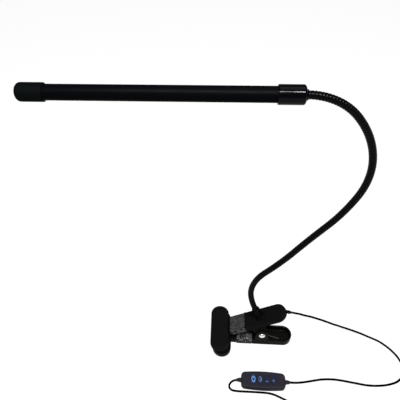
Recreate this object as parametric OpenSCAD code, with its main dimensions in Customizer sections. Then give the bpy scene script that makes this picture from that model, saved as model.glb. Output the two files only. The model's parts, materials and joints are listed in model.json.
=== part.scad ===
// Clip-on reading lamp: a slim light bar on a bendable neck, a spring clamp to stand or
// grip with, and a thin cord with an inline push-button switch.
// Origin: on the surface, straight under the clamp's hinge pin.
// +X runs towards the clamp's handles, +Y across it and +Z up.

/* [Light bar] */
// Length of the bar over both caps
bar_len = 263; // [220:1:300]
// Outer diameter of the bar's tube
tube_d = 15; // [14:0.5:18]
// Outer diameter of the cap on the neck's end
neck_cap_d = 18.2; // [17.5:0.1:22]
// Outer diameter of the cap on the free end
end_cap_d = 17.6; // [17.4:0.1:22]
// Half of the diffuser's arc, measured from straight down
diffuser_half = 44; // [30:1:60]
// Number of light emitters along the bar
led_count = 36; // [12:2:48]

/* [Neck] */
// Outer diameter of the bendable neck
neck_d = 8; // [7:0.5:9]
// Length of each of the neck's eight stretches
neck_step = 53.6; // [45:0.1:60]
// How far one stretch may turn on the next, either way
neck_swing = 22; // [10:1:24]
// Length of the sleeve that holds the neck's foot
sleeve_len = 20; // [12:1:26]

/* [Clamp] */
// Height of the hinge pin above the surface
pin_h = 26; // [24:1:30]
// Rise of the upper lever above level, with the jaws shut
lever_rise = 30.6; // [26:0.2:34]
// Width of both levers
lever_w = 26.6; // [24:0.2:30]
// Length of a jaw bar, across the clamp
jaw_len = 72; // [50:1:80]
// Diameter of the hinge pin
pin_d = 5; // [4:0.5:6]

/* [Cord and switch] */
// Diameter of the cord
cord_d = 3; // [2.5:0.5:3.5]
// Length of the switch's housing
switch_len = 61; // [56:1:66]
// Width of the switch's housing at its ends
switch_w = 20; // [18:1:22]
// How much wider the switch's housing is in its middle
switch_bulge = 4; // [0:1:5]
// Height of the switch's housing
switch_h = 10; // [9:0.5:12]
// Travel of each push-button
button_travel = 0.5; // [0.3:0.1:0.6]
// Layers of turns in the stored coil, each three turns across
coil_layers = 4; // [2:2:4]

/* [Hidden] */
$fn = 48;
round_fn = 64;
small_fn = 24;
eps = 0.01;
gap = 0.3;
run_fit = 0.05;

// Levers, in the upper lever's own frame: x along it from the pin, z away from its top plate.
wall = 2;
plate_z = 28;
skirt_h = 8;
lever_r = lever_w / 2;
handle_from = -13.8;
handle_end = 49;
arm_h = 9.3;
wrap_t = 0.8;
arm_w = lever_w - 2 * wrap_t - 0.6;
arm_from = -38.5;
wrap_from = -38;
neck_foot = 11.5;
ear_r = 9;
tab_r = 8;
tab_t = 1.9;
pin_r = pin_d / 2;

// Jaw bars and their pads
jaw_r = 13.3;
jaw_t = 7.8;
pad_t = 4;
upper_jaw_x = -61.3;
lower_jaw_x = -57.5;
jaw_split = jaw_t + pad_t;

// Lower lever
tray_from = -12.5;
tray_end = 45.4;
tray_h = 12;
low_wrap_from = -36;
arm_lift = 0.9;

// Neck: eight stretches of constant bend, in degrees, from the foot to the bar
neck_turn = [-22.7, -47.5, 8.5, -2.9, 14.9, 33.7, 29.1, 47.4];
neck_r = neck_d / 2;
neck_bore_r = 2;
ball_r = neck_r + 0.1;
cup_r = ball_r + 0.1;
cup_gap = ball_r * sin(neck_swing) + 0.45;
last = len(neck_turn) - 1;

// Light bar, in its own frame: z along it from the neck, x up
tube_r = tube_d / 2;
tube_t = 1.5;
inner_r = tube_r - tube_t;
nose_len = 1.4;
cap_len = 26.2;
end_cap_len = 26.3;
tube_from = 7;
tube_to = bar_len - 8;
thread_r = 3;
board_w = 10.6;
board_t = 1.2;
board_x = 1;
shelf_t = 0.8;
led_w = 2.8;
led_l = 3.5;
led_t = 0.8;
board_from = 20;
board_to = bar_len - 22;

// Switch, in its own frame: x along it, z up
switch_at = [0.8, -71];
switch_r = 5;
shell_t = 1.4;
switch_split = 4.8;
button_pitch = 9.2;
button_l = 6.6;
button_w = 12.4;
button_proud = 0.5;
button_count = 4;
relief_len = 5;
board_z = 3;

// Coil and plug
cord_r = cord_d / 2;
coil_mid = 11 * cord_r;
coil_at = [64, -124];
coil_w = 3 * cord_d;
coil_h = coil_layers * cord_d;
plug_at = [101, -141];
plug_turn = -90;
grip_l = 22;
grip_w = 12;
grip_h = 7.4;
shell_l = 14;
shell_h = 4.5;

// The cord's route from the clamp to the switch. Each point is [x, y, z].
lead_route = [
    [37, 0, 69], [43, 0, 67.5], [50, 0.5, 65], [57, 1, 61.5], [64, 2, 58],
    [71, 3, 54], [78, 4, 49.5], [85, 5, 45], [92, 6, 40], [99, 7, 35],
    [106, 8, 30], [113, 9.5, 25], [120, 10.5, 20], [127, 11.5, 15.5], [134, 12, 11.5],
    [141, 12, 8], [148, 11.5, 5], [155, 10, 3], [162, 7.5, 1.8], [169, 4.5, 1.5],
    [176, 1, 1.5], [182, -3.5, 1.5], [188, -9, 1.5], [193, -15, 1.5], [197, -21, 1.5],
    [200, -28, 1.5], [201.5, -35.5, 1.5], [201, -43, 1.5], [198.5, -50, 1.5], [194, -56, 1.5],
    [188, -60.5, 1.5], [181, -63.5, 1.5], [172, -66, 1.5], [162, -67.5, 1.5], [152, -68, 1.5],
    [142, -67.5, 1.5], [132, -66, 1.5], [122, -64.5, 1.5], [112, -63, 1.5], [102, -62, 1.5],
    [92, -62, 1.5], [82, -63, 1.5], [72, -65, 1.5], [62, -67.3, 1.7], [52, -69.3, 2.4],
    [44, -70.5, 3.6], [37, -71, 4.8]
];
// From the switch to the stored coil
tail_route = [
    [-35, -71, 4.8], [-39.5, -71.5, 3.4], [-43.5, -73.5, 2], [-46, -76.8, 1.5], [-46, -80.6, 1.5],
    [-43, -84, 1.5], [-38, -85.2, 1.5], [-31, -85.5, 1.5], [-22, -85.5, 1.5], [-12, -85.5, 1.5],
    [-2, -85.6, 1.5], [7, -86, 1.5], [15, -87.6, 1.5], [22, -90.4, 1.5], [29, -93.6, 1.5],
    [36, -97, 1.5], [43, -99.8, 1.5], [50, -101.8, 1.5], [56, -103.4, 1.5]
];
// From the coil to the plug
plug_route = [
    [83.5, -124.5, 10.5], [84, -130, 9.4], [85, -136, 7.6], [86.4, -142, 5.8], [88.4, -147.5, 4.6],
    [91.2, -152, 3.9], [95, -154.6, 3.7], [99, -153.6, 3.7], [101, -150.2, 3.7], [101, -147, 3.7]
];

// ---- Shared shapes ----

// A plate with one round end, from x0 to x1
module tongue(x0, x1, r) {
    translate([x0, -r]) square([x1 - r - x0, 2 * r]);
    translate([x1 - r, 0]) circle(r = r, $fn = round_fn);
}

// A straight bar with two round ends, along y
module long_round(len, r) {
    translate([-r, -(len / 2 - r)]) square([2 * r, len - 2 * r]);
    for (s = [-1, 1]) translate([0, s * (len / 2 - r)]) circle(r = r, $fn = round_fn);
}

// Half of a jaw bar's section, with its upper rim softened
module jaw_section(soft) {
    square([jaw_r, jaw_t - soft]);
    square([jaw_r - soft, jaw_t]);
    translate([jaw_r - soft, jaw_t - soft]) circle(r = soft, $fn = 32);
}

// A jaw bar: a thick round-ended plate along y
module jaw_bar(soft) {
    flat_len = jaw_len - 2 * jaw_r;
    rotate([90, 0, 0]) linear_extrude(flat_len, center = true) {
        jaw_section(soft);
        mirror([1, 0]) jaw_section(soft);
    }
    for (turn = [0, 180]) rotate([0, 0, turn]) translate([0, flat_len / 2, 0])
        rotate_extrude(angle = 180, $fn = round_fn) jaw_section(soft);
}

// A rectangle with arcs at its corners, centred
module round_rect(l, w, r) {
    square([l - 2 * r, w], center = true);
    square([l, w - 2 * r], center = true);
    for (x = [-1, 1], y = [-1, 1])
        translate([x * (l / 2 - r), y * (w / 2 - r)]) circle(r = r, $fn = small_fn);
}

// A slab across the clamp, from a side profile in x and z, between two heights in y
module slab(y0, y1) {
    translate([0, y1, 0]) rotate([90, 0, 0]) linear_extrude(y1 - y0) children();
}

// Both sides of the clamp
module both_sides() {
    children();
    mirror([0, 1, 0]) children();
}

// A point of the upper lever's frame, in x and z
function in_lever(u, w) =
    [u * cos(lever_rise) - w * sin(lever_rise), pin_h + u * sin(lever_rise) + w * cos(lever_rise)];

// The upper lever's frame
module lever_frame() {
    translate([0, 0, pin_h]) rotate([0, -lever_rise, 0]) children();
}

// ---- Sweeping a round section along a route ----

function unit(v) = v / norm(v);
function route_dir(p, i) = unit(p[min(i + 1, len(p) - 1)] - p[max(i - 1, 0)]);
function side_of(d) = unit(cross(abs(d.z) > 0.9 ? [1, 0, 0] : [0, 0, 1], d));
function ring(p, i, r, n) =
    let (d = route_dir(p, i), a = side_of(d), b = cross(d, a))
    [for (k = [0 : n - 1]) p[i] + r * (cos(360 * k / n) * a + sin(360 * k / n) * b)];

module swept(p, r, n = 8) {
    points = [for (i = [0 : len(p) - 1]) each ring(p, i, r, n)];
    ends = [[for (k = [n - 1 : -1 : 0]) k], [for (k = [0 : n - 1]) (len(p) - 1) * n + k]];
    sides = [for (i = [0 : len(p) - 2], k = [0 : n - 1])
        each [[i * n + k, i * n + (k + 1) % n, (i + 1) * n + k],
              [(i + 1) * n + k, i * n + (k + 1) % n, (i + 1) * n + (k + 1) % n]]];
    polyhedron(points, concat(ends, sides), convexity = 6);
}

// ---- Neck ----

function neck_chord(a) = a == 0 ? neck_step : 2 * neck_step / (a * PI / 180) * sin(a / 2);
function neck_heading(k) = k == 0 ? 90 + lever_rise : neck_heading(k - 1) + neck_turn[k - 1];
function neck_point(k) =
    k == 0 ? let (foot = in_lever(neck_foot, plate_z)) [foot.x, 0, foot.y]
    : let (h = neck_heading(k - 1) + neck_turn[k - 1] / 2)
      neck_point(k - 1) + neck_chord(neck_turn[k - 1]) * [cos(h), 0, sin(h)];

// z along the neck at joint k, x to the outside of a left-hand bend
module neck_frame(k) {
    translate(neck_point(k)) rotate([0, 90 - neck_heading(k), 0]) children();
}

// A round tube that bends by turn over the length neck_step, between two lengths along it
module bent(turn, r, from, to) {
    bend_r = neck_step / (abs(turn) * PI / 180);
    per_mm = abs(turn) / neck_step;
    mirror([turn < 0 ? 1 : 0, 0, 0]) translate([-bend_r, 0, 0]) rotate([90, 0, 0])
        rotate([0, 0, from * per_mm]) rotate_extrude(angle = (to - from) * per_mm, $fn = 240)
            translate([bend_r, 0]) circle(r = r, $fn = 32);
}

module neck_stretch(k) {
    turn = neck_turn[k];
    color([0.05, 0.05, 0.05]) difference() {
        union() {
            neck_frame(k) bent(turn, neck_r, k == 0 ? 0 : cup_gap, neck_step);
            if (k < last) translate(neck_point(k + 1)) sphere(r = ball_r, $fn = 40);
        }
        if (k > 0) translate(neck_point(k)) sphere(r = cup_r, $fn = 40);
        neck_frame(k) bent(turn, neck_bore_r, k == 0 ? -1 : 0, neck_step + (k < last ? 6 : 1));
    }
}

module neck_1() { neck_stretch(0); }
module neck_2() { neck_stretch(1); }
module neck_3() { neck_stretch(2); }
module neck_4() { neck_stretch(3); }
module neck_5() { neck_stretch(4); }
module neck_6() { neck_stretch(5); }
module neck_7() { neck_stretch(6); }
module neck_8() { neck_stretch(7); }

module neck_sleeve() {
    color([0.06, 0.06, 0.07]) neck_frame(0) difference() {
        union() {
            bent(neck_turn[0], neck_r + 1.8, 0.2, sleeve_len);
            cylinder(r = neck_r + 3.2, h = 3);
        }
        bent(neck_turn[0], neck_r + run_fit, -1, sleeve_len + 1);
    }
}

// Threaded end of the neck's foot, through the top plate
module neck_stud() {
    color([0.7, 0.7, 0.72]) neck_frame(0) difference() {
        translate([0, 0, -7.5]) cylinder(r = neck_r - 0.4, h = 7.5);
        translate([0, 0, -8]) cylinder(r = neck_bore_r, h = 9);
    }
}

module neck_locknut() {
    color([0.72, 0.72, 0.74]) neck_frame(0) difference() {
        translate([0, 0, -wall - 3.2]) cylinder(r = 7, h = 3.2, $fn = 6);
        translate([0, 0, -7]) cylinder(r = neck_r - 0.4 + run_fit, h = 8);
    }
}

// ---- Light bar ----

// z along the bar from the end of the neck, x up
module bar_frame() {
    neck_frame(last + 1) children();
}

// A pie slice between two angles from straight down, less than a half turn wide
module wedge(half, size) {
    polygon([[0, 0], for (a = [-half, 0, half]) size * [-cos(a), sin(a)]]);
}

module bar_housing() {
    color([0.04, 0.04, 0.045]) bar_frame() translate([0, 0, tube_from])
        linear_extrude(tube_to - tube_from) {
            difference() {
                circle(r = tube_r, $fn = round_fn);
                circle(r = inner_r, $fn = round_fn);
                wedge(diffuser_half, 3 * tube_r);
            }
            for (s = [-1, 1]) intersection() {
                circle(r = inner_r + eps, $fn = round_fn);
                translate([board_x - shelf_t, s > 0 ? board_w / 2 - 0.8 : -inner_r])
                    square([shelf_t, inner_r - board_w / 2 + 0.8]);
            }
        }
}

module bar_diffuser() {
    inside_r = inner_r - run_fit;
    color([0.93, 0.91, 0.85]) bar_frame() translate([0, 0, tube_from])
        linear_extrude(tube_to - tube_from) {
            intersection() {
                difference() {
                    circle(r = tube_r, $fn = round_fn);
                    circle(r = inside_r - 1, $fn = round_fn);
                }
                wedge(diffuser_half - 0.4, 3 * tube_r);
            }
            intersection() {
                difference() {
                    circle(r = inside_r, $fn = round_fn);
                    circle(r = inside_r - 1, $fn = round_fn);
                }
                wedge(diffuser_half + 14, 3 * tube_r);
            }
        }
}

module led_board() {
    color([0.9, 0.9, 0.88]) bar_frame()
        translate([board_x, -board_w / 2, board_from]) cube([board_t, board_w, board_to - board_from]);
}

module led_chips() {
    pitch = (board_to - board_from - 20) / (led_count - 1);
    color([0.95, 0.85, 0.35]) bar_frame() for (i = [0 : led_count - 1])
        translate([board_x - led_t, -led_w / 2, board_from + 10 + i * pitch - led_l / 2])
            cube([led_t, led_w, led_l]);
}

// Two small screws that hold the board's ends to the housing's roof
module board_screws() {
    color([0.75, 0.75, 0.77]) bar_frame() for (z = [board_from + 4, board_to - 4])
        translate([board_x - 1.2, 0, z]) rotate([0, 90, 0]) cylinder(r = 1.9, h = 1.2, $fn = small_fn);
}

module end_cap() {
    cap_r = end_cap_d / 2;
    round_r = 5;
    color([0.05, 0.05, 0.05]) bar_frame() translate([0, 0, bar_len - end_cap_len])
        difference() {
            rotate_extrude($fn = round_fn) {
                square([cap_r, end_cap_len - round_r]);
                square([cap_r - round_r, end_cap_len]);
                intersection() {
                    translate([cap_r - round_r, end_cap_len - round_r]) circle(r = round_r);
                    square([cap_r, end_cap_len]);
                }
            }
            translate([0, 0, -1]) cylinder(r = tube_r, h = tube_to - bar_len + end_cap_len + 1,
                                           $fn = round_fn);
        }
}

module neck_cap() {
    cap_r = neck_cap_d / 2;
    round_r = 2.4;
    color([0.03, 0.03, 0.035]) bar_frame() difference() {
        rotate_extrude($fn = round_fn) {
            polygon([[0, 0.4], [5, 0.4], [5.6, nose_len], [5.6, nose_len + 1], [0, nose_len + 1]]);
            intersection() {
                translate([cap_r - round_r, nose_len + round_r]) circle(r = round_r);
                translate([0, nose_len]) square([cap_r, 2 * round_r]);
            }
            translate([0, nose_len]) square([cap_r - round_r, cap_len - nose_len]);
            translate([0, nose_len + round_r]) square([cap_r, cap_len - nose_len - round_r]);
        }
        translate([0, 0, tube_from]) cylinder(r = tube_r, h = cap_len, $fn = round_fn);
        translate([0, 0, -1]) cylinder(r = neck_r + run_fit, h = cap_len);
    }
}

// Steel end of the neck, inside the cap
module neck_ferrule() {
    color([0.7, 0.7, 0.72]) bar_frame() difference() {
        union() {
            cylinder(r = neck_r, h = tube_from);
            cylinder(r = thread_r, h = 12);
        }
        translate([0, 0, -1]) cylinder(r = neck_bore_r, h = 14);
    }
}

module ferrule_nut() {
    color([0.72, 0.72, 0.74]) bar_frame() difference() {
        translate([0, 0, tube_from]) cylinder(r = 4.8, h = 3, $fn = 6);
        cylinder(r = thread_r + run_fit, h = 12);
    }
}

// ---- Upper lever ----

module side_tab() {
    polygon([[-10, plate_z - wall + eps], [-tab_r + 0.3, 1], [tab_r - 0.3, 1],
             [16, plate_z - wall - 1], [16, plate_z - wall + eps]]);
    circle(r = tab_r, $fn = round_fn);
}

module upper_arm(len) {
    translate([arm_from, -arm_w / 2, plate_z - arm_h + wrap_t]) cube([len, arm_w, arm_h - 2 * wrap_t]);
}

// The arm's shoulder into the jaw bar, in x and z
module shoulder() {
    low = jaw_split + pad_t + 0.5;
    high = jaw_split + pad_t + jaw_t - 1;
    right = upper_jaw_x + jaw_r;
    polygon([[upper_jaw_x + 5, low], [right - 1.5, low], in_lever(arm_from + 0.4, plate_z - arm_h + wrap_t),
             in_lever(arm_from + 0.4, plate_z - wrap_t), in_lever(arm_from, plate_z - wrap_t),
             [right - 2.2, high], [upper_jaw_x + 5, high]]);
}

module upper_lever() {
    tab_y = lever_r - wall - gap - 0.1;
    color([0.07, 0.07, 0.075]) difference() {
        union() {
            lever_frame() {
                // Handle: a top plate with a skirt all round
                difference() {
                    translate([0, 0, plate_z - skirt_h]) linear_extrude(skirt_h)
                        tongue(handle_from, handle_end, lever_r);
                    translate([0, 0, plate_z - skirt_h - 1]) linear_extrude(skirt_h + 1 - wall)
                        tongue(handle_from + wall, handle_end - wall, lever_r - wall);
                }
                // Low lip where the grip wrap stops
                translate([handle_from, -lever_r, plate_z - 1]) cube([1.2, lever_w, 1.7]);
                // Tabs down to the hinge pin
                both_sides() slab(tab_y - tab_t, tab_y) side_tab();
            }
            // Arm under the grip wrap, and its shoulder down into the jaw bar
            lever_frame() upper_arm(handle_from - arm_from + 1);
            slab(0.4 - arm_w / 2, arm_w / 2 - 0.4) shoulder();
            translate([upper_jaw_x, 0, jaw_split + pad_t]) jaw_bar(2);
        }
        // Bore for the hinge pin
        translate([0, lever_w, pin_h]) rotate([90, 0, 0]) cylinder(r = pin_r + run_fit, h = 2 * lever_w);
        // Hole for the neck's threaded stud
        neck_frame(0) translate([0, 0, -5]) cylinder(r = neck_r - 0.4 + run_fit, h = 8);
        // Hole for the cord's gland
        gland_frame() translate([0, 0, -2.8]) cylinder(r = 2.5, h = 9);
    }
}

module upper_jaw_pad() {
    color([0.1, 0.1, 0.1]) translate([upper_jaw_x, 0, jaw_split + gap / 2])
        linear_extrude(pad_t - gap / 2) long_round(jaw_len - 1.6, jaw_r - 0.8);
}

module upper_grip_wrap() {
    color([0.3, 0.3, 0.3]) lever_frame() difference() {
        translate([wrap_from, -lever_r + 0.3, plate_z - arm_h])
            cube([handle_from - wrap_from - 0.1, lever_w - 0.6, arm_h]);
        translate([wrap_from - 1, -arm_w / 2, plate_z - arm_h + wrap_t])
            cube([handle_from - wrap_from + 2, arm_w, arm_h - 2 * wrap_t]);
    }
}

// Flat cover over the wires under the handle's plate
module wire_cover() {
    color([0.06, 0.06, 0.06]) lever_frame() difference() {
        translate([0, 0, plate_z - skirt_h]) linear_extrude(0.9)
            tongue(20, handle_end - wall - 0.1, lever_r - wall - 0.1);
        for (x = [24, 36]) translate([x, 0, plate_z - skirt_h - 1])
            cylinder(r = 1.3, h = 4, $fn = small_fn);
    }
}

module cover_screws() {
    color([0.6, 0.6, 0.62]) lever_frame() for (x = [24, 36])
        translate([x, 0, plate_z - skirt_h - 0.9]) {
            cylinder(r = 2.3, h = 0.9, $fn = small_fn);
            cylinder(r = 1.2, h = skirt_h - wall + 0.8, $fn = small_fn);
        }
}

gland_at = [handle_end, 0, plate_z - 5.6];
gland_drop = 14;
module gland_frame() {
    lever_frame() translate(gland_at) rotate([0, 90 + lever_rise + gland_drop, 0]) children();
}

module cord_gland() {
    color([0.05, 0.05, 0.05]) gland_frame() rotate_extrude($fn = small_fn)
        polygon([[0, -2.6], [2.45, -2.6], [2.45, 3], [2.7, 3.2], [2.7, 4], [1.9, 6.2], [0, 6.2]]);
}

// ---- Lower lever ----

module lower_lever() {
    color([0.09, 0.09, 0.085]) difference() {
        union() {
            difference() {
                linear_extrude(tray_h) tongue(tray_from, tray_end, lever_r);
                translate([0, 0, wall]) linear_extrude(tray_h)
                    tongue(tray_from + wall, tray_end - wall, lever_r - wall);
            }
            both_sides() slab(lever_r - wall, lever_r) {
                polygon([[-11, wall], [11, wall], [ear_r - 0.1, pin_h - 1.5], [0.1 - ear_r, pin_h - 1.5]]);
                translate([0, pin_h]) circle(r = ear_r, $fn = round_fn);
            }
            translate([lower_jaw_x, -arm_w / 2, arm_lift])
                cube([tray_from - lower_jaw_x + 1, arm_w, arm_h - 0.6]);
            translate([lower_jaw_x, 0, jaw_t]) mirror([0, 0, 1]) jaw_bar(1);
        }
        translate([0, lever_w, pin_h]) rotate([90, 0, 0]) cylinder(r = pin_r + run_fit, h = 2 * lever_w);
    }
}

module lower_jaw_pad() {
    color([0.1, 0.1, 0.1]) translate([lower_jaw_x, 0, jaw_t])
        linear_extrude(pad_t - gap / 2) difference() {
            long_round(jaw_len - 1.6, jaw_r - 0.8);
            translate([0, -lever_w / 2]) square([jaw_r, lever_w]);
        }
}

module lower_grip_wrap() {
    top = arm_lift + arm_h - 0.6;
    color([0.35, 0.35, 0.35]) difference() {
        translate([low_wrap_from, -lever_r + 0.3, arm_lift - wrap_t])
            cube([tray_from - low_wrap_from - 0.1, lever_w - 0.6, top - arm_lift + 2 * wrap_t]);
        translate([low_wrap_from - 1, -arm_w / 2, arm_lift])
            cube([tray_from - low_wrap_from + 2, arm_w, top - arm_lift]);
    }
}

module hinge_pin() {
    head_r = 4.4;
    color([0.78, 0.78, 0.78]) translate([0, 0, pin_h]) rotate([90, 0, 0]) {
        translate([0, 0, -lever_r - 2.4]) cylinder(r = pin_r, h = lever_w + 2.4);
        translate([0, 0, lever_r]) cylinder(r = head_r, h = 0.6);
        intersection() {
            translate([0, 0, lever_r + 0.6 + 1.8 - 6.3]) sphere(r = 6.3);
            translate([0, 0, lever_r + 0.3]) cylinder(r = head_r - 0.2, h = 4);
        }
    }
}

module pin_retainer() {
    color([0.6, 0.6, 0.62]) translate([0, lever_r + 1.4, pin_h]) rotate([90, 0, 0]) difference() {
        cylinder(r = 4.6, h = 1.4);
        translate([0, 0, -1]) cylinder(r = pin_r, h = 4);
    }
}

// A torsion spring round the pin: one leg on the tray's floor, one under the handle's plate
spring_r = 4.6;
spring_wire_r = 0.8;
spring_turns = 4;
spring_steps = 14;
function spring_path() =
    let (steps = spring_turns * spring_steps,
         from = -spring_turns * (spring_wire_r * 2 + 0.15) / 2,
         a0 = 250, a1 = a0 - 360 * spring_turns - 73)
    concat(
        [[27, from, wall + spring_wire_r + 0.1], [14, from, 9]],
        [for (i = [0 : steps]) let (a = a0 + (a1 - a0) * i / steps)
            [spring_r * cos(a), from * (1 - 2 * i / steps), pin_h + spring_r * sin(a)]],
        [[12, -from, 48], [16.5, -from, 60.6]]);

module torsion_spring() {
    color([0.65, 0.65, 0.66]) swept(spring_path(), spring_wire_r, 8);
}

// ---- Switch ----

module switch_frame() {
    translate([switch_at.x, switch_at.y, 0]) children();
}

// The switch's outline: round corners and bulging long sides
module switch_plan(inset) {
    x1 = switch_len / 2 - switch_r;
    y1 = switch_w / 2 - switch_r;
    r = switch_r - inset;
    side = concat([for (k = [0 : 7]) [x1 + r * cos(k * 90 / 7), y1 + r * sin(k * 90 / 7)]],
                  [for (k = [1 : 9]) [x1 - x1 * k / 5, y1 + r]],
                  [for (k = [0 : 7]) [-x1 - r * sin(k * 90 / 7), y1 + r * cos(k * 90 / 7)]]);
    polygon([for (turn = [1, -1], p = side)
        [p.x, p.y * (1 + switch_bulge / switch_w * (1 - pow(2 * p.x / switch_len, 2)))] * turn]);
}

function button_x(i) = (i - (button_count - 1) / 2) * button_pitch;

module switch_bottom() {
    color([0.08, 0.08, 0.11]) switch_frame() difference() {
        linear_extrude(switch_split) switch_plan(0);
        translate([0, 0, shell_t]) linear_extrude(switch_h) switch_plan(shell_t);
        for (x = [-1, 1]) translate([x * (switch_len / 2 - 6), 0, -1])
            cylinder(r = 1.2, h = 4, $fn = small_fn);
    }
}

module switch_top() {
    color([0.08, 0.08, 0.11]) switch_frame() difference() {
        translate([0, 0, switch_split]) linear_extrude(switch_h - switch_split) switch_plan(0);
        translate([0, 0, switch_split - 1]) linear_extrude(switch_h - switch_split + 1 - shell_t)
            switch_plan(shell_t);
        for (i = [0 : button_count - 1]) translate([button_x(i), 0, switch_split])
            linear_extrude(switch_h) round_rect(button_l + 0.4, button_w + 0.4, 1.6);
    }
}

module switch_board() {
    color([0.1, 0.35, 0.2]) switch_frame() translate([0, 0, board_z - 0.5])
        linear_extrude(1) square([switch_len - 18, switch_w - 2 * shell_t - 1], center = true);
}

module key_switches() {
    stem_top = switch_h - shell_t - button_travel - 0.5;
    color([0.2, 0.2, 0.2]) switch_frame() for (i = [0 : button_count - 1])
        translate([button_x(i), 0, board_z + 0.5]) {
            translate([-2.6, -2.6, 0]) cube([5.2, 5.2, 2]);
            cylinder(r = 1.4, h = stem_top - board_z - 0.5, $fn = small_fn);
        }
}

module switch_screws() {
    color([0.6, 0.6, 0.62]) switch_frame() for (x = [-1, 1])
        translate([x * (switch_len / 2 - 6), 0, 0.3]) cylinder(r = 1.15, h = 5.5, $fn = small_fn);
}

module push_button(i) {
    under = switch_h - shell_t - 0.4;
    switch_frame() translate([button_x(i), 0, under])
        linear_extrude(switch_h + button_proud - under) round_rect(button_l, button_w, 1.4);
}

module button_power() { color([0.25, 0.4, 0.75]) push_button(0); }
module button_colour() { color([0.15, 0.22, 0.4]) push_button(1); }
module button_dimmer() { color([0.15, 0.22, 0.4]) push_button(2); }
module button_brighter() { color([0.15, 0.22, 0.4]) push_button(3); }

module switch_relief(side) {
    color([0.06, 0.06, 0.08]) switch_frame() translate([side * switch_len / 2, 0, switch_split])
        rotate([0, side * 90, 0]) cylinder(r1 = 3.3, r2 = 2.3, h = relief_len, $fn = small_fn);
}

module switch_relief_in() { switch_relief(1); }
module switch_relief_out() { switch_relief(-1); }

// ---- Cord, coil and plug ----

module cord_lead() { color([0.04, 0.04, 0.04]) swept(lead_route, cord_r); }
module cord_tail() { color([0.04, 0.04, 0.04]) swept(tail_route, cord_r); }
module cord_end() { color([0.04, 0.04, 0.04]) swept(plug_route, cord_r); }

module cord_coil() {
    color([0.04, 0.04, 0.04]) translate([coil_at.x, coil_at.y, 0])
        rotate_extrude($fn = round_fn) translate([coil_mid, coil_h / 2])
            round_rect(coil_w, coil_h, cord_r - 0.1);
}

module coil_tie() {
    tie_t = 0.7;
    inside_w = coil_w + 0.7;
    color([0.12, 0.12, 0.12]) translate([coil_at.x, coil_at.y, tie_t]) rotate([0, 0, 215])
        translate([coil_mid, 0, coil_h / 2 - tie_t]) difference() {
            translate([0, 0, tie_t / 2]) cube([inside_w + 2 * tie_t, 5, coil_h + tie_t], center = true);
            cube([inside_w, 6, coil_h + 0.1], center = true);
        }
}

module plug_frame() {
    translate([plug_at.x, plug_at.y, grip_h / 2]) rotate([0, 0, plug_turn]) children();
}

module plug_relief() {
    color([0.05, 0.05, 0.05]) plug_frame() translate([6, 0, 0]) rotate([0, -90, 0])
        cylinder(r1 = cord_r + 0.5, r2 = 3.2, h = 6, $fn = small_fn);
}

module usb_grip() {
    color([0.05, 0.05, 0.05]) plug_frame() translate([-grip_l, 0, -grip_h / 2])
        linear_extrude(grip_h) translate([grip_l / 2, 0]) round_rect(grip_l, grip_w, 2.4);
}

module usb_shell() {
    color([0.8, 0.8, 0.82]) plug_frame() translate([-grip_l - shell_l, -grip_w / 2, -shell_h / 2])
        difference() {
            cube([shell_l, grip_w, shell_h]);
            translate([-1, 0.35, 0.35]) cube([shell_l, grip_w - 0.7, shell_h - 0.7]);
        }
}

module usb_tongue() {
    color([0.9, 0.9, 0.9]) plug_frame()
        translate([-grip_l - shell_l + 0.5, -grip_w / 2 + 0.4, 0])
            cube([shell_l - 1.5, grip_w - 0.8, shell_h / 2 - 0.4]);
}

bar_housing();
bar_diffuser();
led_board();
led_chips();
end_cap();
neck_cap();
neck_ferrule();
ferrule_nut();
board_screws();
neck_1();
neck_2();
neck_3();
neck_4();
neck_5();
neck_6();
neck_7();
neck_8();
neck_sleeve();
neck_stud();
neck_locknut();
upper_lever();
upper_jaw_pad();
upper_grip_wrap();
wire_cover();
cover_screws();
cord_gland();
lower_lever();
lower_jaw_pad();
lower_grip_wrap();
hinge_pin();
pin_retainer();
torsion_spring();
cord_lead();
switch_relief_in();
switch_bottom();
switch_top();
switch_board();
key_switches();
switch_screws();
button_power();
button_colour();
button_dimmer();
button_brighter();
switch_relief_out();
cord_tail();
cord_coil();
coil_tie();
cord_end();
plug_relief();
usb_grip();
usb_shell();
usb_tongue();
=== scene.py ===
"""Looks of the clip-on reading lamp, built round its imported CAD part. Lengths are in metres."""
import json
import math

import bmesh
import bpy
from mathutils import Matrix, Vector, noise


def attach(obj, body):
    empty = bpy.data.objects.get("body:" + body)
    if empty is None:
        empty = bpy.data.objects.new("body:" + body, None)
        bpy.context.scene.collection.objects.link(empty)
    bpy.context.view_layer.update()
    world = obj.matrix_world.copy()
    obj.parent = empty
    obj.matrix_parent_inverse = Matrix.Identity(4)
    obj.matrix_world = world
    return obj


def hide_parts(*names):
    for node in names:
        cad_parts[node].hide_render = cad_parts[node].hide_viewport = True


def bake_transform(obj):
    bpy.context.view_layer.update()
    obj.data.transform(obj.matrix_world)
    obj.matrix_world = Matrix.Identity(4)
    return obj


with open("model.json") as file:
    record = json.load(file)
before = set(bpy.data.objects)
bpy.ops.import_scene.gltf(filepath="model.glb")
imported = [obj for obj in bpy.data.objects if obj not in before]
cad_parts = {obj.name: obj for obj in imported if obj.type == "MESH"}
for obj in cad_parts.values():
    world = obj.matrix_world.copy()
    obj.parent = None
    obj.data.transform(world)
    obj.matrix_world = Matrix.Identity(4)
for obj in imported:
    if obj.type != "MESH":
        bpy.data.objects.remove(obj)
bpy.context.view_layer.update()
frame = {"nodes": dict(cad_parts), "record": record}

# Sizes shared with the CAD
PIN_Z = 0.026
LEVER_RISE = math.radians(30.6)
LEVER_R = 0.0133
PLATE_Z = 0.028
SKIRT_H = 0.008
WALL = 0.002
HANDLE = (-0.0138, 0.049)
ARM = (-0.0385, -0.0128)
ARM_H = 0.0093
WRAP_T = 0.0008
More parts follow.
